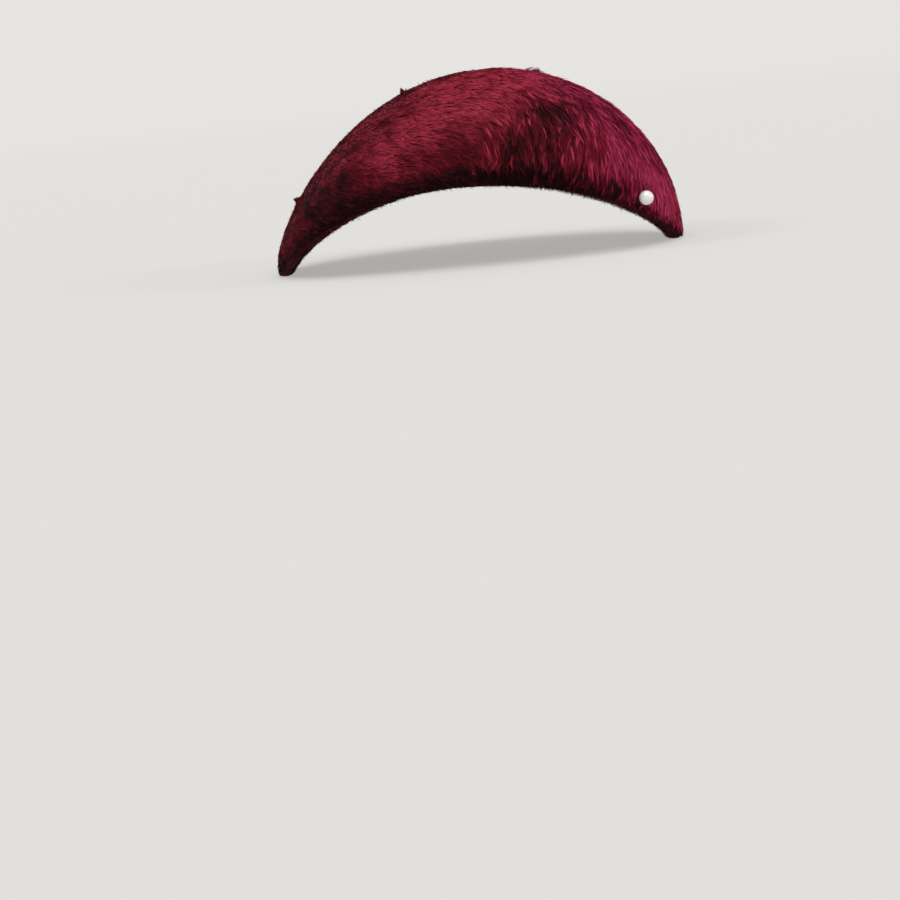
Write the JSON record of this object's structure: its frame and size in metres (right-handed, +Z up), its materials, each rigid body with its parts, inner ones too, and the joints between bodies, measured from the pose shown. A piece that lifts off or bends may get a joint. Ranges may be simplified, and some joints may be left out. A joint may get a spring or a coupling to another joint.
{
  "type": "felt hat",
  "caption": "Small oval bubble-crowned hat of long-haired dark red fur felt, its rolled rim arched over the sides and hemmed inside, with a pearl-headed pin.",
  "frame": {"origin": "on the surface the hat stands on, under the centre of its bounding box", "axes": "+X towards the wearer's back, +Y towards the wearer's right, +Z up"},
  "size_m": [0.1308, 0.113, 0.0594],
  "materials": {
    "fur_felt": "long-haired fur felt, brushed flat",
    "pearl": "pearly gloss",
    "pin_steel": "polished wire"
  },
  "bodies": {
    "root": {"felt_crown": "fur_felt", "pin_pearl": "pearl", "pin_shank": "pin_steel"}
  },
  "joints": []
}
